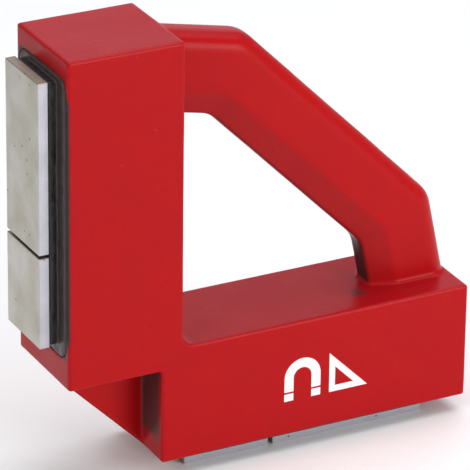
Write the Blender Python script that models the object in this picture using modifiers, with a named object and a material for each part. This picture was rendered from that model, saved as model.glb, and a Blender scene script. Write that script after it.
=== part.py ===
"""Magnetic welding square with a carrying handle, modelled as the separate pieces it is made of.

An L-shaped casting carries one potted magnet pack in the outer face of each leg. The pole plates of
the two packs stand proud of the casting and form the 90 degree working corner. The corner itself is
notched to clear a weld, and a thin web closes the notch. A handle bridges the legs.

World frame: X along the foot, Z up the upright, Y through the depth. The square stands on the pole
plates of its foot, and the origin is the bottom centre of the whole object.
"""

import math

import bmesh
import bpy
from mathutils import Matrix, Vector

# Casting, in metres
DEPTH = 0.0512  # front face to back face
REACH = 0.199  # length of a leg
LEG = 0.0553  # thickness of a leg
NOTCH = 0.0450  # side of the square left open at the outer corner
WEB_THICKNESS = 0.0124
WEB_INSET = 0.0008  # the web's slanted face lies this far inside the notch's diagonal
WEB_EMBED = 0.003  # how far the web runs into the legs
EDGE_RADIUS = 0.0011
INNER_CORNER_RADIUS = 0.006

# Handle
GRIP_OUTER = 0.2141  # from the working corner to the grip's outer face, along the diagonal
GRIP_WIDTH = 0.0372  # across the grip in the plane of the square
GRIP_THICKNESS = 0.020
GRIP_OUTER_ROUND = 0.008
GRIP_INNER_FLAT = 0.011  # width of the grip's inner side, before its edges are rounded
GRIP_INNER_ROUND = 0.0025
GRIP_FLANK = 0.0125  # how far across the grip its slanted flanks reach from the inner side
GRIP_FLANK_ROUND = 0.008
SHOULDER_SLOPE = math.radians(12)
SHOULDER_DROP = 0.0018  # the handle meets a leg this far below its tip
SHOULDER_WIDTH = 0.0388
OUTER_BEND_RADIUS = 0.016
INNER_BEND_RADIUS = 0.013
ROOT_FILLET = 0.0016
ROOT_STEPS = (0.0, 0.15, 0.4, 1.0)  # sections of the fillet, as shares of its length
ROOT_EMBED = 0.004

# Magnet pack, the same in both legs
PROUD = 0.0095  # the upright's pole faces stand this far outside the casting
FOOT_PROUD = 0.0081
PLATE_THICKNESS = 0.0048
PLATE_WIDTH = 0.033
PLATE_EDGE = 0.0003
MAGNET_THICKNESS = 0.0254
MAGNET_WIDTH = 0.027
MAGNET_END_INSET = 0.0085  # the plates overhang the magnets by this much at the pack's ends
SPACER_WIDTH = 0.0058
YOKE_THICKNESS = 0.015
RECESS_WIDTH = 0.045
RECESS_BEFORE = 0.0050  # recess past the pack at the corner end
RECESS_AFTER = 0.0020  # recess past the pack at the tip end
RECESS_RADIUS = 0.006
PAD_INSET = 0.001  # the raised resin under the plates is this much smaller than they are
PAD_EMBED = 0.002  # how far the raised resin runs into the fill below it
CLEARANCE = 0.0003  # between pieces that touch
MAGNET_HOLE_RADIUS = 0.0025

# M4 socket-head screws
SCREW_RADIUS = 0.002
HEAD_RADIUS = 0.0035
HEAD_HEIGHT = 0.004
SOCKET_RADIUS = 0.0017
SOCKET_DEPTH = 0.002
SCREW_FACETS = 24
POLE_SCREW_TIP = 0.0018  # how far behind the pole face a pole screw ends
YOKE_SCREW_REACH = 0.008  # how far a yoke screw goes into the casting
YOKE_SCREW_MARGIN = 0.0046  # from the yoke's end to the screw's axis

# Each pack: its start along the leg, its two pole plates and the gap between them, and how far it
# stands outside the casting
PACKS = {
    "foot": {"start": 0.0699, "short": 0.0424, "gap": 0.0020, "long": 0.0766, "proud": FOOT_PROUD},
    "upright": {"start": 0.0734, "short": 0.0429, "gap": 0.0014, "long": 0.0796, "proud": PROUD},
}

# Distances from the casting's reference corner, which lies PROUD outside both of its outer faces
OUTSIDE = PROUD
INSIDE = PROUD + LEG
TIP = PROUD + REACH
NOTCH_EDGE = PROUD + NOTCH

# Depths below the pole faces
MAGNET_TOP = PLATE_THICKNESS + CLEARANCE
MAGNET_BOTTOM = MAGNET_TOP + MAGNET_THICKNESS
YOKE_TOP = MAGNET_BOTTOM + CLEARANCE
YOKE_BOTTOM = YOKE_TOP + YOKE_THICKNESS
RECESS_FLOOR = YOKE_BOTTOM + CLEARANCE

ARC_STEPS = 6
CUT_PAST = 0.001  # how far a cut runs past the surface it opens

MATERIALS = {
    "red_enamel": ((0.46, 0.018, 0.018), 0.28, 0.0),
    "ground_steel": ((0.56, 0.55, 0.52), 0.38, 1.0),
    "ferrite": ((0.055, 0.055, 0.06), 0.7, 0.0),
    "mild_steel": ((0.32, 0.32, 0.33), 0.5, 1.0),
    "black_resin": ((0.02, 0.02, 0.021), 0.45, 0.0),
    "stainless_steel": ((0.6, 0.6, 0.6), 0.3, 1.0),
    "aluminium": ((0.72, 0.72, 0.73), 0.4, 1.0),
}


def clear_scene():
    for old in list(bpy.data.objects):
        bpy.data.objects.remove(old)


def new_collection(name):
    collection = bpy.data.collections.new(name)
    bpy.context.scene.collection.children.link(collection)
    return collection


def new_material(name):
    colour, roughness, metallic = MATERIALS[name]
    material = bpy.data.materials.new(name)
    material.use_nodes = True
    shader = material.node_tree.nodes["Principled BSDF"]
    shader.inputs["Base Color"].default_value = (*colour, 1.0)
    shader.inputs["Roughness"].default_value = roughness
    shader.inputs["Metallic"].default_value = metallic
    return material


clear_scene()
PARTS = new_collection("magnetic_welding_square")
CUTTERS = new_collection("cutters")
MADE = {name: new_material(name) for name in MATERIALS}


def new_frame(name, matrix):
    """An empty that places pieces: their coordinates are in its frame."""
    frame = bpy.data.objects.new(name, None)
    PARTS.objects.link(frame)
    frame.matrix_world = matrix
    return frame


def new_piece(name, mesh, frame, material):
    piece = bpy.data.objects.new(name, mesh)
    PARTS.objects.link(piece)
    piece.parent = frame
    mesh.materials.clear()
    mesh.materials.append(MADE[material])
    return piece


def new_tool(name, mesh, frame):
    """A body that is only cut from, or joined to, a piece."""
    tool = bpy.data.objects.new(name, mesh)
    CUTTERS.objects.link(tool)
    tool.parent = frame
    tool.hide_render = True
    tool.display_type = "WIRE"
    return tool


def boolean(piece, tool, operation="DIFFERENCE"):
    modifier = piece.modifiers.new(tool.name, "BOOLEAN")
    modifier.operation = operation
    modifier.object = tool
    modifier.solver = "EXACT"


def round_edges(piece, width, segments):
    modifier = piece.modifiers.new("edges", "BEVEL")
    modifier.width = width
    modifier.segments = segments
    modifier.limit_method = "ANGLE"
    modifier.angle_limit = math.radians(40)


def shade(mesh):
    mesh.shade_smooth()
    mesh.set_sharp_from_angle(angle=math.radians(35))


def box_mesh(name, low, high):
    mesh = bpy.data.meshes.new(name)
    bm = bmesh.new()
    size = Vector(high) - Vector(low)
    centre = (Vector(high) + Vector(low)) / 2
    bmesh.ops.create_cube(bm, size=1.0, matrix=Matrix.Translation(centre) @ Matrix.Diagonal((*size, 1)))
    bm.to_mesh(mesh)
    bm.free()
    return mesh


def cylinder_mesh(name, radius, along, low, high, facets=SCREW_FACETS):
    """A cylinder whose axis runs in depth, at a distance along the leg."""
    mesh = bpy.data.meshes.new(name)
    bm = bmesh.new()
    place = Matrix.Translation((along, 0, (low + high) / 2))
    bmesh.ops.create_cone(
        bm, cap_ends=True, segments=facets, radius1=radius, radius2=radius, depth=high - low, matrix=place
    )
    bm.to_mesh(mesh)
    bm.free()
    shade(mesh)
    return mesh


def arc(centre, radius, start, end, steps=ARC_STEPS):
    """Points on a circle between two angles, both ends included."""
    angles = [start + (end - start) * i / steps for i in range(steps + 1)]
    return [(centre[0] + radius * math.cos(a), centre[1] + radius * math.sin(a)) for a in angles]


def flat_mesh(name, points, thickness):
    """The solid between two copies of a flat outline in X and Y, centred on Z = 0."""
    curve = bpy.data.curves.new(name, "CURVE")
    curve.dimensions = "2D"
    curve.fill_mode = "BOTH"
    curve.extrude = thickness / 2
    spline = curve.splines.new("POLY")
    spline.points.add(len(points) - 1)
    for point, (x, y) in zip(spline.points, points):
        point.co = (x, y, 0, 1)
    spline.use_cyclic_u = True
    outline = bpy.data.objects.new(name, curve)
    CUTTERS.objects.link(outline)
    evaluated = outline.evaluated_get(bpy.context.evaluated_depsgraph_get())
    mesh = bpy.data.meshes.new_from_object(evaluated)
    bpy.data.objects.remove(outline)
    bm = bmesh.new()
    bm.from_mesh(mesh)
    bmesh.ops.remove_doubles(bm, verts=bm.verts, dist=0.00001)
    bmesh.ops.recalc_face_normals(bm, faces=bm.faces)
    bmesh.ops.dissolve_limit(bm, angle_limit=math.radians(1), verts=bm.verts, edges=bm.edges)
    bm.to_mesh(mesh)
    bm.free()
    return mesh


def stand_up(mesh):
    """Turns a flat outline drawn in X and Y into the plane of the square, X and Z."""
    mesh.transform(Matrix.Rotation(math.radians(90), 4, "X"))
    return mesh


def casting_outline():
    """The two legs without the corner notch, with a fillet where their inner faces meet."""
    r = INNER_CORNER_RADIUS
    fillet = arc((INSIDE + r, INSIDE + r), r, math.radians(180), math.radians(270))
    return [
        (OUTSIDE, NOTCH_EDGE),
        (NOTCH_EDGE, NOTCH_EDGE),
        (NOTCH_EDGE, OUTSIDE),
        (TIP, OUTSIDE),
        (TIP, INSIDE),
        *reversed(fillet),
        (INSIDE, TIP),
        (OUTSIDE, TIP),
    ]


def web_outline():
    """The triangle across the notch, running a little way into both legs."""
    low = OUTSIDE + WEB_INSET / 2
    high = NOTCH_EDGE + WEB_INSET / 2
    return [
        (low, high),
        (high, low),
        (high + WEB_EMBED, low + WEB_EMBED),
        (high + WEB_EMBED, high + WEB_EMBED),
        (low + WEB_EMBED, high + WEB_EMBED),
    ]


def meet(start, slope, diagonal_sum):
    """Where a line falling at a slope from a point crosses the diagonal x + z = diagonal_sum."""
    fall = math.tan(slope)
    x = (diagonal_sum - start[1] - fall * start[0]) / (1 - fall)
    return Vector((x, diagonal_sum - x))


def half_edge(height, diagonal_sum, radius):
    """One edge of the handle from the upright to the middle of the grip: a function that gives the
    shoulder at a distance from the leg, then the points of the bend, then the middle."""
    root = Vector((INSIDE, height))
    corner = meet(root, SHOULDER_SLOPE, diagonal_sum)
    turn = math.radians(45) - SHOULDER_SLOPE
    tangent = radius * math.tan(turn / 2)
    shoulder = Vector((math.cos(SHOULDER_SLOPE), -math.sin(SHOULDER_SLOPE)))
    begin = corner - shoulder * tangent
    centre = begin + Vector((-math.sin(SHOULDER_SLOPE), -math.cos(SHOULDER_SLOPE))) * radius
    first = math.radians(90) - SHOULDER_SLOPE
    bend = [Vector(p) for p in arc(centre, radius, first, first - turn)]

    def shoulder_at(distance):
        return root + shoulder * (distance / math.cos(SHOULDER_SLOPE))

    return shoulder_at, bend, Vector((diagonal_sum / 2, diagonal_sum / 2))


def root_flare(distance):
    """How far the concave fillet swells the handle at a distance from the leg."""
    if not 0 <= distance < ROOT_FILLET:
        return 0.0
    return ROOT_FILLET - math.sqrt(ROOT_FILLET**2 - (ROOT_FILLET - distance) ** 2)


def handle_stations():
    """(outer point, inner point, flare) for each section of the handle, upright to foot."""
    outer_sum = GRIP_OUTER * math.sqrt(2)
    inner_sum = outer_sum - GRIP_WIDTH * math.sqrt(2)
    height = TIP - SHOULDER_DROP
    outer_at, outer_bend, outer_mid = half_edge(height, outer_sum, OUTER_BEND_RADIUS)
    inner_at, inner_bend, inner_mid = half_edge(height - SHOULDER_WIDTH, inner_sum, INNER_BEND_RADIUS)
    near = [-ROOT_EMBED, *(share * ROOT_FILLET for share in ROOT_STEPS)]
    half = [(outer_at(d), inner_at(d), root_flare(d)) for d in near]
    half += [(outer, inner, 0.0) for outer, inner in zip(outer_bend, inner_bend)]
    mirrored = [(outer.yx, inner.yx, flare) for outer, inner, flare in reversed(half)]
    return [*half, (outer_mid, inner_mid, 0.0), *mirrored]


def rounded_corner(before, corner, after, radius):
    """The arc that rounds a corner of a path, ends included."""
    into = (corner - before).normalized()
    out = (after - corner).normalized()
    turn = into.angle_signed(out)
    tangent = radius * math.tan(abs(turn) / 2)
    side = 1 if turn < 0 else -1
    centre = corner - into * tangent + Vector((-into.y, into.x)) * radius * side
    begin = corner - into * tangent - centre
    start = math.atan2(begin.y, begin.x)
    return arc(centre, radius, start, start + abs(turn) * side)


def grip_section(width, thickness):
    """Half of the grip's section, as (distance from the inner edge, distance from the middle plane):
    a flat inner side, a slanted flank out to the full thickness, and round outer edges."""
    half = thickness / 2
    flat = GRIP_INNER_FLAT / 2
    path = [Vector(p) for p in ((0, 0), (0, flat), (GRIP_FLANK, half), (width, half), (width, 0))]
    radii = (GRIP_INNER_ROUND, GRIP_FLANK_ROUND, GRIP_OUTER_ROUND)
    section = []
    for (before, corner, after), radius in zip(zip(path, path[1:], path[2:]), radii):
        section += rounded_corner(before, corner, after, radius)
    return section


def handle_mesh():
    """The sections joined into one closed skin."""
    mesh = bpy.data.meshes.new("handle")
    bm = bmesh.new()
    rings = []
    for outer, inner, flare in handle_stations():
        width = (outer - inner).length + 2 * flare
        across = (outer - inner).normalized()
        start = inner - across * flare
        side = grip_section(width, GRIP_THICKNESS + 2 * flare)
        section = side + [(a, -b) for a, b in reversed(side)]
        ring = [bm.verts.new((start.x + across.x * a, b, start.y + across.y * a)) for a, b in section]
        rings.append(ring)
    count = len(rings[0])
    for ring, following in zip(rings, rings[1:]):
        for i in range(count):
            j = (i + 1) % count
            bm.faces.new((ring[i], ring[j], following[j], following[i]))
    bm.faces.new(rings[0])
    bm.faces.new(reversed(rings[-1]))
    bmesh.ops.recalc_face_normals(bm, faces=bm.faces)
    bm.to_mesh(mesh)
    bm.free()
    return mesh


class Pack:
    """The places of one magnet pack's pieces along its leg, from the casting's reference corner."""

    def __init__(self, start, short, gap, long, proud):
        self.proud = proud
        self.short = (start, start + short)
        self.long = (self.short[1] + gap, self.short[1] + gap + long)
        self.magnets_start = start + MAGNET_END_INSET
        self.magnets_end = self.long[1] - MAGNET_END_INSET
        middle = (self.short[1] + self.long[0]) / 2
        self.spacer = (middle - SPACER_WIDTH / 2, middle + SPACER_WIDTH / 2)
        self.recess = (start - RECESS_BEFORE, self.long[1] + RECESS_AFTER)

    def magnet_spans(self):
        before = self.spacer[0] - CLEARANCE
        after = self.spacer[1] + CLEARANCE
        half = (after + self.magnets_end) / 2
        return {
            "short": (self.magnets_start, before),
            "long_inner": (after, half - CLEARANCE / 2),
            "long_outer": (half + CLEARANCE / 2, self.magnets_end),
        }

    def pole_screws(self):
        return [sum(span) / 2 for span in self.magnet_spans().values()]

    def yoke_screws(self):
        offset = CLEARANCE + YOKE_SCREW_MARGIN
        return [self.recess[0] + offset, self.recess[1] - offset]


def recess_outline(pack, inset):
    """The recess's rounded rectangle, drawn smaller by an inset."""
    low, high = pack.recess[0] + inset, pack.recess[1] - inset
    half = RECESS_WIDTH / 2 - inset
    r = RECESS_RADIUS - inset
    right_angle = math.radians(90)
    corners = [(high - r, half - r), (low + r, half - r), (low + r, r - half), (high - r, r - half)]
    points = []
    for i, centre in enumerate(corners):
        points += arc(centre, r, i * right_angle, (i + 1) * right_angle)
    return points


def make_plate(leg, frame, pack, which):
    """A pole plate, with blind holes in its back for the pole screws under it."""
    low, high = pack.short if which == "short" else pack.long
    half = PLATE_WIDTH / 2
    name = f"{leg}_pole_plate_{which}"
    slab = box_mesh(name, (low, -half, 0), (high, half, PLATE_THICKNESS))
    plate = new_piece(name, slab, frame, "ground_steel")
    round_edges(plate, PLATE_EDGE, 1)
    for number, along in enumerate(pack.pole_screws()):
        if low < along < high:
            bottom = POLE_SCREW_TIP - CLEARANCE
            hole = cylinder_mesh("hole", SCREW_RADIUS + CLEARANCE, along, bottom, PLATE_THICKNESS + CUT_PAST)
            boolean(plate, new_tool(f"{name}_hole_{number}", hole, frame))


def make_magnets(leg, frame, pack):
    """Ferrite blocks, each with one hole through it for its pole screw."""
    half = MAGNET_WIDTH / 2
    for which, (low, high) in pack.magnet_spans().items():
        name = f"{leg}_magnet_{which}"
        block = box_mesh(name, (low, -half, MAGNET_TOP), (high, half, MAGNET_BOTTOM))
        magnet = new_piece(name, block, frame, "ferrite")
        top, bottom = MAGNET_TOP - CUT_PAST, MAGNET_BOTTOM + CUT_PAST
        hole = cylinder_mesh("hole", MAGNET_HOLE_RADIUS, (low + high) / 2, top, bottom)
        boolean(magnet, new_tool(f"{name}_hole", hole, frame))


def make_spacer(leg, frame, pack):
    """The bar that keeps the blocks of opposite polarity apart."""
    half = MAGNET_WIDTH / 2
    low, high = pack.spacer
    name = f"{leg}_magnet_spacer"
    new_piece(name, box_mesh(name, (low, -half, MAGNET_TOP), (high, half, MAGNET_BOTTOM)), frame, "aluminium")


def make_yoke(leg, frame, pack):
    """The steel bar behind the magnets that closes their circuit, and lies on the recess floor."""
    name = f"{leg}_yoke"
    mesh = flat_mesh(name, recess_outline(pack, CLEARANCE), YOKE_THICKNESS)
    mesh.transform(Matrix.Translation((0, 0, (YOKE_TOP + YOKE_BOTTOM) / 2)))
    yoke = new_piece(name, mesh, frame, "mild_steel")
    shank = SCREW_RADIUS + CLEARANCE
    for number, along in enumerate(pack.pole_screws() + pack.yoke_screws()):
        hole = cylinder_mesh("hole", shank, along, YOKE_TOP - CUT_PAST, YOKE_BOTTOM + CUT_PAST)
        boolean(yoke, new_tool(f"{name}_hole_{number}", hole, frame))
    for number, along in enumerate(pack.pole_screws()):
        floor = YOKE_BOTTOM - HEAD_HEIGHT - 2 * CLEARANCE
        bore = cylinder_mesh("bore", HEAD_RADIUS + CLEARANCE, along, floor, YOKE_BOTTOM + CUT_PAST)
        boolean(yoke, new_tool(f"{name}_counterbore_{number}", bore, frame))


def make_resin(leg, frame, pack):
    """The cast resin round the magnets: it fills the recess and rises in a pad under the plates."""
    name = f"{leg}_resin"
    fill = flat_mesh(name, recess_outline(pack, CLEARANCE), YOKE_TOP - CLEARANCE - pack.proud)
    fill.transform(Matrix.Translation((0, 0, (YOKE_TOP - CLEARANCE + pack.proud) / 2)))
    resin = new_piece(name, fill, frame, "black_resin")
    half = PLATE_WIDTH / 2 - PAD_INSET
    low, high = pack.short[0] + PAD_INSET, pack.long[1] - PAD_INSET
    pad = box_mesh("pad", (low, -half, MAGNET_TOP), (high, half, pack.proud + PAD_EMBED))
    boolean(resin, new_tool(f"{name}_pad", pad, frame), "UNION")
    half = MAGNET_WIDTH / 2 + CLEARANCE
    low, high = pack.magnets_start - CLEARANCE, pack.magnets_end + CLEARANCE
    room = box_mesh("room", (low, -half, 0), (high, half, YOKE_BOTTOM))
    boolean(resin, new_tool(f"{name}_magnet_room", room, frame))
    for number, along in enumerate(pack.yoke_screws()):
        top = YOKE_TOP - HEAD_HEIGHT - 2 * CLEARANCE
        pocket = cylinder_mesh("pocket", HEAD_RADIUS + CLEARANCE, along, top, YOKE_BOTTOM)
        boolean(resin, new_tool(f"{name}_head_pocket_{number}", pocket, frame))


def make_screw(name, frame, along, head_top, head_side, tip):
    """A socket-head screw in depth: head_side is +1 where the head's top faces deeper, else -1."""
    under = head_top - head_side * HEAD_HEIGHT
    head = cylinder_mesh(name, HEAD_RADIUS, along, min(under, head_top), max(under, head_top))
    screw = new_piece(name, head, frame, "stainless_steel")
    inside = under + head_side * CUT_PAST
    shank = cylinder_mesh("shank", SCREW_RADIUS, along, min(tip, inside), max(tip, inside))
    boolean(screw, new_tool(f"{name}_shank", shank, frame), "UNION")
    socket_floor = head_top - head_side * SOCKET_DEPTH
    above = head_top + head_side * CUT_PAST
    bottom, top = min(socket_floor, above), max(socket_floor, above)
    socket = cylinder_mesh("socket", SOCKET_RADIUS, along, bottom, top, facets=6)
    boolean(screw, new_tool(f"{name}_socket", socket, frame))


def make_screws(leg, frame, pack):
    """Pole screws clamp plate, magnet and yoke from behind; yoke screws hold the pack in the casting."""
    for number, along in enumerate(pack.pole_screws(), 1):
        make_screw(f"{leg}_pole_screw_{number}", frame, along, YOKE_BOTTOM - CLEARANCE, 1, POLE_SCREW_TIP)
    for number, along in enumerate(pack.yoke_screws(), 1):
        head_top = YOKE_TOP - CLEARANCE - HEAD_HEIGHT
        tip = YOKE_BOTTOM + YOKE_SCREW_REACH
        make_screw(f"{leg}_yoke_screw_{number}", frame, along, head_top, -1, tip)


def cut_recess(casting, leg, frame, pack):
    """The pocket in a leg's outer face, with blind holes in its floor for the yoke screws."""
    depth = RECESS_FLOOR
    recess = flat_mesh("recess", recess_outline(pack, 0), depth)
    recess.transform(Matrix.Translation((0, 0, depth / 2)))
    boolean(casting, new_tool(f"{leg}_recess", recess, frame))
    for number, along in enumerate(pack.yoke_screws()):
        bottom = YOKE_BOTTOM + YOKE_SCREW_REACH + CLEARANCE
        hole = cylinder_mesh("hole", SCREW_RADIUS + CLEARANCE, along, RECESS_FLOOR - CUT_PAST, bottom)
        boolean(casting, new_tool(f"{leg}_thread_{number}", hole, frame))


def make_casting(frame):
    """The one-piece body: two legs, the web across the notch and the handle."""
    legs = stand_up(flat_mesh("casting", casting_outline(), DEPTH))
    casting = new_piece("casting", legs, frame, "red_enamel")
    round_edges(casting, EDGE_RADIUS, 3)
    web = stand_up(flat_mesh("web", web_outline(), WEB_THICKNESS))
    boolean(casting, new_tool("web", web, frame), "UNION")
    handle = handle_mesh()
    shade(handle)
    boolean(casting, new_tool("handle", handle, frame), "UNION")
    return casting


def main():
    corner = Matrix.Translation((-TIP / 2, 0, FOOT_PROUD - PROUD))
    swap_legs = Matrix.Rotation(math.radians(180), 4, Vector((1, 0, 1)))
    legs = {"foot": corner, "upright": corner @ swap_legs}
    casting = make_casting(new_frame("casting_frame", corner))
    for leg, sizes in PACKS.items():
        pack = Pack(**sizes)
        frame = new_frame(f"{leg}_frame", legs[leg] @ Matrix.Translation((0, 0, PROUD - pack.proud)))
        cut_recess(casting, leg, frame, pack)
        for which in ("short", "long"):
            make_plate(leg, frame, pack, which)
        make_magnets(leg, frame, pack)
        make_spacer(leg, frame, pack)
        make_yoke(leg, frame, pack)
        make_resin(leg, frame, pack)
        make_screws(leg, frame, pack)


main()
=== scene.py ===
"""The looks of the magnetic welding square: enamelled casting, poured resin and ground pole plates."""

import math

import bpy
import numpy as np
from mathutils import Matrix, Vector, noise


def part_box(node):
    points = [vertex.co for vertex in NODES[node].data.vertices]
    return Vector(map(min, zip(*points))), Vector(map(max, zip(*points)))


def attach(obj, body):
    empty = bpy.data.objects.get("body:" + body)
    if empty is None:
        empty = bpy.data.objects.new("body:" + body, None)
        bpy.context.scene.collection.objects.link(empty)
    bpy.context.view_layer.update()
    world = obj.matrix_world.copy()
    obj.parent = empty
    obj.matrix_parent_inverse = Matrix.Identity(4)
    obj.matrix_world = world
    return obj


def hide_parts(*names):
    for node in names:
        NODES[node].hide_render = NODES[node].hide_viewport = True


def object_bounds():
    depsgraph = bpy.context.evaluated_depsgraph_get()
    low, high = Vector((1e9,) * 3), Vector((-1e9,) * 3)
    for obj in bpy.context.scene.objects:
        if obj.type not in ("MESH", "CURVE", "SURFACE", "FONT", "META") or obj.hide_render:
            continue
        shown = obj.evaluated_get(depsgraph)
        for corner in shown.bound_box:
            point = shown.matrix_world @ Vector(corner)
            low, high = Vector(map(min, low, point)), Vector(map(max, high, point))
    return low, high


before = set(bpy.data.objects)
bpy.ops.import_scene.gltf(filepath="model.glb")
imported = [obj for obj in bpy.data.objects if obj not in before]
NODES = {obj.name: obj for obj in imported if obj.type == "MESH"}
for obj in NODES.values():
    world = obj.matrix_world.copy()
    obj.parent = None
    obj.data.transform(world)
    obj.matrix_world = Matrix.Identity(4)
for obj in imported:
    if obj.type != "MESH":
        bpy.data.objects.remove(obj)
CAD_LOW, CAD_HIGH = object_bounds()

# Camera, in metres and degrees
VIEW_AZIMUTH = -27.6
VIEW_ELEVATION = 24.9
VIEW_ROLL = 0.76
VIEW_DISTANCE = 1.83
VIEW_TARGET = (-0.01003, -0.0162, 0.10742)
LENS_MM = 321.1

# Skins of the cast and poured pieces, in metres
CASTING_VOXEL = 0.0007
RESIN_VOXEL = 0.0006
SKIN_PASSES = 2  # rounds of smoothing
UNEVENNESS = 0.00008
UNEVENNESS_SIZE = 0.016
RESIN_LUMPS = 0.00035
RESIN_LUMP_SIZE = 0.005
RESIN_SWELL = 0.00055  # the resin is swollen outwards, to close the CAD's gaps round it

# Painted shade, one dirty spot and the resin smear. Places are measured from the casting's working corner,
# along a leg, in metres.
NOTCH_END = 0.045
LEG_THICKNESS = 0.0553
# painted shade on the walls of the corner notch
NOTCH_SHADE = 0.85
ROOT_SHADE = 0.93  # painted shade on the handle's inner side beside the foot and the upright
ROOT_SHADE_FULL = 0.076
ROOT_SHADE_END = 0.086
ROOT_SHADE_BEYOND = 0.120  # there is no heavy painted shade nearer the corner than this
HANDLE_HALF_WIDTH = 0.020  # nothing of the handle is further from the middle plane
# light painted shade over the handle's whole inner side
GRIP_SHADE = 0.42
BLOT = 0.6  # a dirty spot on the foot, beside the handle
BLOT_AT = 0.1500
BLOT_ASIDE = 0.010  # towards the front
BLOT_RADIUS = 0.0052
BLOT_CORE = 0.0012
CORNER_FADE = 3.0  # how fast the smeared resin narrows beside the recess's rounded corners

# The sign printed on the foot, in metres: a horseshoe magnet beside a set square
SIGN_AT = (0.0200, 0.0360)  # centre of the magnet's bend, along the foot and up
SIGN_BEND = 0.0068  # radius of the bend's middle line
SIGN_LINE = 0.0046
SIGN_LIMB = 0.0110
SIGN_TIP = 0.0036
SIGN_GAP = 0.0009
SQUARE_AT = (0.0335, 0.0250)  # its right-angled corner
SQUARE_SIDE = 0.0195
SQUARE_LINE = 0.0030

# Enamel with its painted shade and sheen, print, dirt and resin, linear colour
RED = (0.43, 0.0045, 0.004, 1.0)
# painted shade and bluish painted sheen, for the enamel faces turned left, up and down
RED_FACING_SHADE_SHEEN = (0.30, 0.010, 0.018, 1.0)
RED_DEEP = (0.37, 0.0035, 0.007, 1.0)
PRINT_WHITE = (0.83, 0.83, 0.83, 1.0)
# painted shade for the notch and the handle's inner side; also the colour of one dirty spot on the foot
DARK_SHADE_AND_DIRT = (0.040, 0.030, 0.031, 1.0)
RESIN_BLACK = (0.006, 0.006, 0.006, 1.0)
RESIN_BROWN = (0.046, 0.031, 0.031, 1.0)

# Ground steel and its painted side reflection, linear colour
STEEL = (0.52, 0.51, 0.47, 1.0)
STEEL_FACE = (0.58, 0.565, 0.52, 1.0)
STEEL_STAIN = (0.49, 0.46, 0.38, 1.0)
STEEL_LINE = (0.38, 0.37, 0.34, 1.0)
# painted bluish reflection on the plates' front and back sides
STEEL_SIDE_REFLECTION = (0.52, 0.51, 0.55, 1.0)
STEEL_SIDE_REFLECTION_STAIN = (0.46, 0.45, 0.48, 1.0)
SAWN_END = (0.34, 0.25, 0.17, 1.0)
SAWN_END_DARK = (0.22, 0.15, 0.11, 1.0)
PIT = (0.12, 0.10, 0.09, 1.0)

# Studio. A light is its name, place, size, power and colour.
FLOOR_HALF = 4.0
FLOOR_LIGHT = (0.94, 0.94, 0.94, 1.0)
FLOOR_DARK = (0.92, 0.92, 0.92, 1.0)
WORLD_COLOUR = (0.98, 0.98, 1.0, 1.0)
WORLD_STRENGTH = 0.35
LIGHTS = (
    ("overhead", (0.3, 0.1, 1.6), 1.5, 19, (0.94, 0.96, 1.0)),
    ("front", (0.8, -1.7, 0.55), 1.0, 22, (0.98, 0.97, 1.0)),
    ("left", (-1.6, -0.5, 1.1), 0.9, 9, (1.0, 0.96, 0.88)),
    ("back", (0.9, 1.8, 0.9), 1.6, 5, (0.86, 0.86, 1.0)),
)


def new_material(name, colour, roughness, metallic=0.0):
    """A material with its tree and shader, ready for its textures."""
    material = bpy.data.materials.new(name)
    material.use_nodes = True
    shader = material.node_tree.nodes["Principled BSDF"]
    shader.inputs["Base Color"].default_value = colour
    shader.inputs["Roughness"].default_value = roughness
    shader.inputs["Metallic"].default_value = metallic
    return material, material.node_tree, shader


def position(tree, stretch=(1, 1, 1)):
    """The point on the piece in metres, stretched along the axes."""
    coordinates = tree.nodes.new("ShaderNodeTexCoord")
    mapping = tree.nodes.new("ShaderNodeMapping")
    mapping.inputs["Scale"].default_value = stretch
    tree.links.new(coordinates.outputs["Object"], mapping.inputs["Vector"])
    return mapping.outputs["Vector"]


def noise_texture(tree, scale, detail=3.0, stretch=(1, 1, 1)):
    node = tree.nodes.new("ShaderNodeTexNoise")
    node.inputs["Scale"].default_value = scale
    node.inputs["Detail"].default_value = detail
    tree.links.new(position(tree, stretch), node.inputs["Vector"])
    return node.outputs["Fac"]


def spots(tree, scale, radius, soft):
    """1 inside small scattered round spots, 0 elsewhere."""
    node = tree.nodes.new("ShaderNodeTexVoronoi")
    node.inputs["Scale"].default_value = scale
    tree.links.new(position(tree), node.inputs["Vector"])
    return ramp_value(tree, node.outputs["Distance"], radius, radius + soft, 1.0, 0.0)


def ramp_value(tree, source, low, high, start=0.0, end=1.0):
    """Maps low..high to start..end, held at both ends."""
    node = tree.nodes.new("ShaderNodeMapRange")
    node.inputs["From Min"].default_value = low
    node.inputs["From Max"].default_value = high
    node.inputs["To Min"].default_value = start
    node.inputs["To Max"].default_value = end
    tree.links.new(source, node.inputs["Value"])
    return node.outputs["Result"]


def put(tree, value, socket):
    """Links a value that varies, or sets one that doesn't."""
    if isinstance(value, bpy.types.NodeSocket):
        tree.links.new(value, socket)
    else:
        socket.default_value = value


def mix(tree, factor, first, second):
    node = tree.nodes.new("ShaderNodeMix")
    node.data_type = "RGBA"
    put(tree, factor, node.inputs["Factor"])
    put(tree, first, node.inputs[6])
    put(tree, second, node.inputs[7])
    return node.outputs[2]


def maths(tree, operation, first, second=0.0):
    node = tree.nodes.new("ShaderNodeMath")
    node.operation = operation
    put(tree, first, node.inputs[0])
    put(tree, second, node.inputs[1])
    return node.outputs[0]


def attribute(tree, name):
    node = tree.nodes.new("ShaderNodeAttribute")
    node.attribute_name = name
    return node.outputs["Fac"]


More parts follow.
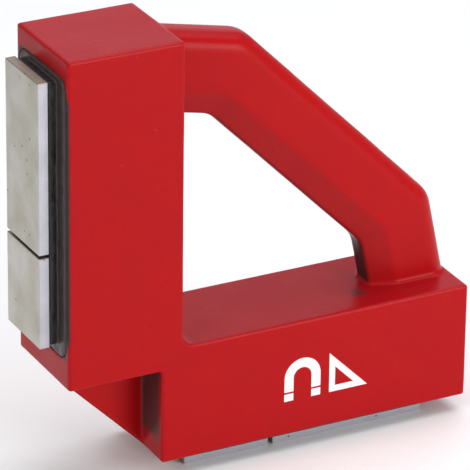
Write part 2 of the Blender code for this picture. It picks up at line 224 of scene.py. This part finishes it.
def bump(tree, shader, layers):
    """Stacks bumps: each layer is (height texture, depth in metres)."""
    last = None
    for height, depth in layers:
        node = tree.nodes.new("ShaderNodeBump")
        node.inputs["Distance"].default_value = depth
        tree.links.new(height, node.inputs["Height"])
        if last is not None:
            tree.links.new(last, node.inputs["Normal"])
        last = node.outputs["Normal"]
    tree.links.new(last, shader.inputs["Normal"])


def within(tree, value, low, high):
    """1 where the value lies between low and high."""
    above = maths(tree, "GREATER_THAN", value, low)
    return maths(tree, "MULTIPLY", above, maths(tree, "LESS_THAN", value, high))


def magnet_sign(tree, along, up):
    """1 inside a horseshoe magnet that opens downwards, with its two pole tips set off."""
    bend = maths(tree, "MAXIMUM", up, 0.0)
    up_squared = maths(tree, "MULTIPLY", bend, bend)
    squares = maths(tree, "ADD", up_squared, maths(tree, "MULTIPLY", along, along))
    reach = maths(tree, "SQRT", squares)
    shape = within(tree, reach, SIGN_BEND - SIGN_LINE / 2, SIGN_BEND + SIGN_LINE / 2)
    shape = maths(tree, "MULTIPLY", shape, maths(tree, "GREATER_THAN", up, -SIGN_LIMB))
    gap = within(tree, up, SIGN_TIP - SIGN_LIMB, SIGN_TIP - SIGN_LIMB + SIGN_GAP)
    return maths(tree, "MULTIPLY", shape, maths(tree, "SUBTRACT", 1.0, gap))


def triangle(tree, along, up, inset):
    """1 inside the set square's triangle, with its two straight sides moved in by an inset."""
    slope = maths(tree, "ADD", along, up)
    inside = maths(tree, "LESS_THAN", slope, SQUARE_SIDE - inset * math.sqrt(2))
    inside = maths(tree, "MULTIPLY", inside, maths(tree, "GREATER_THAN", along, inset))
    return maths(tree, "MULTIPLY", inside, maths(tree, "GREATER_THAN", up, inset))


def printed_sign(tree):
    """1 where the front of the foot is printed."""
    split = tree.nodes.new("ShaderNodeSeparateXYZ")
    tree.links.new(position(tree), split.inputs[0])
    x, z = split.outputs["X"], split.outputs["Z"]
    along = maths(tree, "SUBTRACT", x, SIGN_AT[0])
    up = maths(tree, "SUBTRACT", z, SIGN_AT[1])
    magnet = magnet_sign(tree, along, up)
    along = maths(tree, "SUBTRACT", x, SQUARE_AT[0])
    up = maths(tree, "SUBTRACT", z, SQUARE_AT[1])
    square = maths(tree, "SUBTRACT", triangle(tree, along, up, 0), triangle(tree, along, up, SQUARE_LINE))
    front = maths(tree, "LESS_THAN", split.outputs["Y"], CAD_LOW.y + SIGN_LINE)
    return maths(tree, "MULTIPLY", front, maths(tree, "MAXIMUM", magnet, square))


def enamel_material():
    """Glossy red enamel over a cast surface, with painted shade and a bluish painted sheen on the faces
    turned left, up and down, painted shade in the notch and on the handle's inner side, one dirty spot, and a
    printed sign.
    """
    material, tree, shader = new_material("red_enamel_visual", RED, 0.3)
    cloud = noise_texture(tree, 45, 3)
    grain = noise_texture(tree, 1100, 2)
    nibs = spots(tree, 42, 0.018, 0.03)
    colour = mix(tree, cloud, RED, RED_DEEP)
    # painted shade and bluish sheen on faces turned left, up and down, broken up by the grain
    facing_shade = maths(tree, "MULTIPLY", attribute(tree, "facing_shade"), ramp_value(tree, grain, 0.35, 0.7))
    colour = mix(tree, facing_shade, colour, RED_FACING_SHADE_SHEEN)
    # painted shade in the notch and on the handle's inner side, and one dirty spot
    colour = mix(tree, attribute(tree, "shade_and_dirt"), colour, DARK_SHADE_AND_DIRT)
    colour = mix(tree, attribute(tree, "smear"), colour, RESIN_BROWN)
    worn = ramp_value(tree, grain, 0.25, 0.4, 0.55, 1.0)
    colour = mix(tree, maths(tree, "MULTIPLY", printed_sign(tree), worn), colour, PRINT_WHITE)
    tree.links.new(colour, shader.inputs["Base Color"])
    tree.links.new(ramp_value(tree, cloud, 0.3, 0.7, 0.26, 0.36), shader.inputs["Roughness"])
    shader.inputs["Specular IOR Level"].default_value = 0.11
    peel = noise_texture(tree, 300, 2)
    bump(tree, shader, [(peel, 0.00005), (grain, 0.000015), (nibs, 0.0002)])
    return material


def resin_material():
    """Poured black resin: satin, with brown bloom where it was ground flush."""
    material, tree, shader = new_material("black_resin_visual", RESIN_BLACK, 0.45)
    cloud = noise_texture(tree, 120, 4)
    flow = noise_texture(tree, 420, 3, (1, 1, 0.25))
    colour = mix(tree, maths(tree, "MULTIPLY", attribute(tree, "ground"), 0.9), RESIN_BLACK, RESIN_BROWN)
    colour = mix(tree, ramp_value(tree, cloud, 0.55, 0.75, 0.0, 0.5), colour, RESIN_BROWN)
    tree.links.new(colour, shader.inputs["Base Color"])
    tree.links.new(ramp_value(tree, flow, 0.3, 0.7, 0.32, 0.55), shader.inputs["Roughness"])
    bump(tree, shader, [(cloud, 0.0008), (flow, 0.0003)])
    return material


def ground_steel_material(leg, end_axis):
    """Ground steel, a little stained, with pits, a painted bright bluish reflection on the front and back
    sides, and tan sawn ends.
    """
    material, tree, shader = new_material(f"ground_steel_visual_{leg}", STEEL, 0.4, 1.0)
    lines = noise_texture(tree, 500, 3, (1, 12, 1))
    patches = noise_texture(tree, 60, 4)
    pits = spots(tree, 150, 0.045, 0.05)
    coordinates = tree.nodes.new("ShaderNodeTexCoord")
    facing = tree.nodes.new("ShaderNodeSeparateXYZ")
    tree.links.new(coordinates.outputs["Normal"], facing.inputs[0])
    side = ramp_value(tree, maths(tree, "ABSOLUTE", facing.outputs["Y"]), 0.5, 0.8)
    end = ramp_value(tree, maths(tree, "ABSOLUTE", facing.outputs[end_axis]), 0.5, 0.8)
    colour = mix(tree, ramp_value(tree, patches, 0.35, 0.7), STEEL_FACE, STEEL_STAIN)
    colour = mix(tree, ramp_value(tree, lines, 0.3, 0.7, 0.0, 0.35), colour, STEEL_LINE)
    # painted bluish reflection on the faces turned front and back
    cool = mix(tree, ramp_value(tree, patches, 0.4, 0.7), STEEL_SIDE_REFLECTION, STEEL_SIDE_REFLECTION_STAIN)
    colour = mix(tree, side, colour, cool)
    sawn = mix(tree, ramp_value(tree, patches, 0.35, 0.65), SAWN_END, SAWN_END_DARK)
    colour = mix(tree, maths(tree, "MULTIPLY", end, 0.6), colour, sawn)
    colour = mix(tree, pits, colour, PIT)
    tree.links.new(colour, shader.inputs["Base Color"])
    tree.links.new(ramp_value(tree, patches, 0.3, 0.7, 0.38, 0.55), shader.inputs["Roughness"])
    bump(tree, shader, [(lines, 0.00004), (patches, 0.0002)])
    return material


def plain_material(name, colour, dark, roughness, metallic, scale):
    """An inner piece's finish: a fine mottled grain."""
    material, tree, shader = new_material(name, (*colour, 1), roughness, metallic)
    grain = noise_texture(tree, scale, 4)
    mottled = mix(tree, ramp_value(tree, grain, 0.35, 0.65), (*colour, 1), (*dark, 1))
    tree.links.new(mottled, shader.inputs["Base Color"])
    rough = ramp_value(tree, grain, 0.3, 0.7, roughness - 0.06, roughness + 0.1)
    tree.links.new(rough, shader.inputs["Roughness"])
    bump(tree, shader, [(grain, 0.00005)])
    return material


def vertices(mesh):
    flat = np.zeros(len(mesh.vertices) * 3, np.float32)
    mesh.vertices.foreach_get("co", flat)
    return flat.reshape(-1, 3)


def normals(mesh):
    flat = np.zeros(len(mesh.vertices) * 3, np.float32)
    mesh.vertices.foreach_get("normal", flat)
    return flat.reshape(-1, 3)


def store(mesh, name, values):
    layer = mesh.attributes.new(name, "FLOAT", "POINT")
    layer.data.foreach_set("value", np.clip(values, 0, 1).astype(np.float32))


def wobble(points, size):
    """Smooth noise from -1 to 1 that changes over lengths of about size."""
    return np.array([noise.noise(Vector(p) / size) for p in points])


def between(values, low, high):
    """0 at low, 1 at high, smooth between them."""
    t = np.clip((values - low) / (high - low), 0, 1)
    return t * t * (3 - 2 * t)


def skin(node, name, voxel, swell=0.0):
    """A fine, softened copy of a CAD node's shape, swollen outwards if asked."""
    source = bpy.data.objects.new(name, NODES[node].data.copy())
    bpy.context.scene.collection.objects.link(source)
    remesh = source.modifiers.new("remesh", "REMESH")
    remesh.mode = "VOXEL"
    remesh.voxel_size = voxel
    soften = source.modifiers.new("soften", "SMOOTH")
    soften.factor = 0.5
    soften.iterations = SKIN_PASSES
    if swell:
        grow = source.modifiers.new("grow", "DISPLACE")
        grow.mid_level = 0.0
        grow.strength = swell
    evaluated = source.evaluated_get(bpy.context.evaluated_depsgraph_get())
    mesh = bpy.data.meshes.new_from_object(evaluated)
    source.modifiers.clear()
    source.data = mesh
    mesh.name = name
    mesh.shade_smooth()
    return source


def push(piece, distances):
    """Moves a skin's points along their normals."""
    mesh = piece.data
    moved = vertices(mesh) + normals(mesh) * distances[:, None]
    mesh.vertices.foreach_set("co", moved.astype(np.float32).ravel())
    mesh.update()


def dress(piece, material, replaced):
    """Gives a skin its material, and has it stand for its CAD node."""
    piece.data.materials.clear()
    piece.data.materials.append(material)
    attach(piece, "root")
    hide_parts(replaced)


def casting_skin():
    """The enamelled casting, a little uneven as cast. It stores where painted shade and sheen go by facing,
    where painted shade (notch, handle) and dirt (one spot on the foot) go, and where resin is smeared.
    """
    piece = skin("casting", "casting_enamelled", CASTING_VOXEL)
    points = vertices(piece.data)
    push(piece, UNEVENNESS * (wobble(points, UNEVENNESS_SIZE) - 1))
    mesh = piece.data
    points, facing = vertices(mesh), normals(mesh)
    # painted shade and sheen by facing, on faces turned left, up or down
    ends = np.maximum(-facing[:, 0], np.abs(facing[:, 2]))
    store(mesh, "facing_shade", 0.7 * between(ends, 0.5, 0.95))
    # painted shade in the notch and on the handle's inner side, and one dirty spot on the foot
    shade_and_dirt = np.maximum(notch_painted_shade(points, facing), handle_painted_shade(points, facing))
    store(mesh, "shade_and_dirt", np.maximum(shade_and_dirt, foot_blot(points)))
    store(mesh, "smear", resin_smear(points))
    dress(piece, enamel_material(), "casting")


def casting_face(axis):
    """Where the casting's outer face, the one with the recess, lies along an axis."""
    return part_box("casting")[0][axis]


def notch_painted_shade(points, facing):
    """How much painted shade the walls of the corner notch get: full inside it, none at its open ends and
    faces.
    """
    low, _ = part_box("casting")
    along, up = points[:, 0] - low.x, points[:, 2] - low.z
    inside = between(np.maximum(along, up), NOTCH_END + 0.002, NOTCH_END)
    clear = between(np.minimum(along, up) + 0.002 * wobble(points, 0.004), 0.006, 0.013)
    inward = between(np.maximum(-facing[:, 0], -facing[:, 2]), 0.4, 0.9)
    depth = between(np.abs(points[:, 1]), CAD_HIGH.y - 0.001, CAD_HIGH.y - 0.005)
    return NOTCH_SHADE * inside * clear * inward * depth


def handle_painted_shade(points, facing):
    """How much painted shade the handle's inner side gets: heavy by the foot and the upright, and light
    elsewhere.
    """
    low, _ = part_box("casting")
    along, up = points[:, 0] - low.x, points[:, 2] - low.z
    root = np.minimum(along, up)
    beyond = np.maximum(along, up)
    handle = between(root, LEG_THICKNESS + 0.001, LEG_THICKNESS + 0.002)
    handle = handle * between(np.abs(points[:, 1]), HANDLE_HALF_WIDTH + 0.001, HANDLE_HALF_WIDTH)
    near = between(root, ROOT_SHADE_END, ROOT_SHADE_FULL)
    near = near * between(beyond, ROOT_SHADE_BEYOND - 0.010, ROOT_SHADE_BEYOND)
    # heavy painted shade by the roots, on faces turned down and left
    heavy_shade = near * between(np.maximum(-facing[:, 0], -facing[:, 2]), 0.75, 0.92)
    # light painted shade over the inner side, more where it faces down and left
    patches = 0.75 + 0.25 * wobble(points, 0.007)
    facing_shade = patches * between(-(facing[:, 0] + facing[:, 2]), 0.0, 1.0)
    return handle * np.maximum(ROOT_SHADE * heavy_shade, GRIP_SHADE * facing_shade)


def foot_blot(points):
    """A small ragged dirty spot on top of the foot, beside the handle."""
    low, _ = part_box("casting")
    along, up = points[:, 0] - low.x, points[:, 2] - low.z
    ragged = 0.0022 * wobble(points, 0.0022)
    away = np.hypot(along - BLOT_AT, points[:, 1] + BLOT_ASIDE) + ragged
    below = between(up, LEG_THICKNESS + 0.0025, LEG_THICKNESS + 0.0015)
    above = between(up, LEG_THICKNESS - 0.002, LEG_THICKNESS - 0.001)
    return BLOT * between(away, BLOT_RADIUS, BLOT_CORE) * below * above


def resin_smear(points):
    """Resin left on the casting's outer faces in a thin ragged rim round each recess."""
    total = np.zeros(len(points))
    ragged = 0.0007 * wobble(points, 0.004) + 0.0005 * wobble(points, 0.0012)
    for leg, across, along in (("upright", 0, 2), ("foot", 2, 0)):
        low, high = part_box(f"{leg}_resin")
        flush = casting_face(across)
        beside = np.maximum(low[along] - points[:, along], points[:, along] - high[along])
        corner = np.maximum(np.abs(points[:, 1]) - high.y, 0.0)
        out = beside + CORNER_FADE * corner
        face = between(points[:, across], flush + 0.0011, flush + 0.0005)
        total = np.maximum(total, face * between(out + ragged, 0.0008, 0.0003))
    return total


def resin_skin(leg, across):
    """The poured resin: lumpy at the casting's face, and browner where it lies flush with it."""
    node = f"{leg}_resin"
    piece = skin(node, f"{leg}_resin_poured", RESIN_VOXEL, RESIN_SWELL)
    points = vertices(piece.data)
    flush = casting_face(across)
    lumps = RESIN_LUMPS * wobble(points, RESIN_LUMP_SIZE)
    push(piece, lumps * between(points[:, across], flush + 0.004, flush) - RESIN_LUMPS / 2)
    mesh = piece.data
    points = vertices(mesh)
    store(mesh, "ground", between(points[:, across], flush - 0.0012, flush - 0.0004))
    dress(piece, resin_material(), node)


def finish_metal():
    """Gives every CAD node that shows as itself its finish."""
    finishes = {
        "foot_pole_plate": ground_steel_material("foot", "X"),
        "upright_pole_plate": ground_steel_material("upright", "Z"),
        "magnet_spacer": plain_material("aluminium_visual", (0.7, 0.7, 0.71), (0.6, 0.6, 0.6), 0.38, 1, 300),
        "magnet": plain_material("ferrite_visual", (0.05, 0.05, 0.055), (0.03, 0.03, 0.033), 0.7, 0, 500),
        "yoke": plain_material("mild_steel_visual", (0.3, 0.3, 0.31), (0.2, 0.19, 0.18), 0.45, 1, 200),
        "screw": plain_material("stainless_visual", (0.6, 0.6, 0.6), (0.5, 0.5, 0.5), 0.28, 1, 600),
    }
    for name, node in NODES.items():
        if node.hide_render:
            continue
        node.data.materials.clear()
        node.data.materials.append(next(finish for key, finish in finishes.items() if key in name))


def floor():
    """A pale, matte studio floor."""
    mesh = bpy.data.meshes.new("floor")
    corners = [(x * FLOOR_HALF, y * FLOOR_HALF, 0) for x, y in ((-1, -1), (1, -1), (1, 1), (-1, 1))]
    mesh.from_pydata(corners, [], [(0, 1, 2, 3)])
    plane = bpy.data.objects.new("floor", mesh)
    bpy.context.scene.collection.objects.link(plane)
    material, tree, shader = new_material("floor", FLOOR_LIGHT, 0.8)
    paper = noise_texture(tree, 12, 3)
    colour = mix(tree, paper, FLOOR_DARK, FLOOR_LIGHT)
    tree.links.new(colour, shader.inputs["Base Color"])
    shader.inputs["Specular IOR Level"].default_value = 0.1
    mesh.materials.append(material)


def soft_light(name, place, aim, size, power, colour):
    """A square area light that the camera doesn't see."""
    lamp = bpy.data.lights.new(name, "AREA")
    lamp.shape = "SQUARE"
    lamp.size = size
    lamp.energy = power
    lamp.color = colour
    holder = bpy.data.objects.new(name, lamp)
    bpy.context.scene.collection.objects.link(holder)
    holder.location = place
    holder.rotation_mode = "QUATERNION"
    holder.rotation_quaternion = (Vector(aim) - Vector(place)).to_track_quat("-Z", "Y")
    holder.visible_camera = False


def lights():
    """Soft studio light from four sides, and a pale sky."""
    middle = (CAD_LOW + CAD_HIGH) / 2
    for name, place, size, power, colour in LIGHTS:
        soft_light(name, place, middle, size, power, colour)
    world = bpy.data.worlds.new("studio")
    world.use_nodes = True
    background = world.node_tree.nodes["Background"]
    background.inputs["Color"].default_value = WORLD_COLOUR
    background.inputs["Strength"].default_value = WORLD_STRENGTH
    bpy.context.scene.world = world


def camera():
    """The camera, at the angle, distance and roll that were fitted to the photograph."""
    a, e = math.radians(VIEW_AZIMUTH), math.radians(VIEW_ELEVATION)
    back = Vector((math.sin(a) * math.cos(e), -math.cos(a) * math.cos(e), math.sin(e)))
    data = bpy.data.cameras.new("camera")
    data.lens = LENS_MM
    eye = bpy.data.objects.new("camera", data)
    bpy.context.scene.collection.objects.link(eye)
    level = (-back).to_track_quat("-Z", "Y").to_matrix().to_4x4()
    roll = Matrix.Rotation(math.radians(VIEW_ROLL), 4, "Z")
    eye.matrix_world = Matrix.Translation(Vector(VIEW_TARGET) + back * VIEW_DISTANCE) @ level @ roll
    bpy.context.scene.camera = eye


casting_skin()
resin_skin("upright", 0)
resin_skin("foot", 2)
finish_metal()
floor()
lights()
camera()
bpy.context.scene.view_settings.view_transform = "Standard"
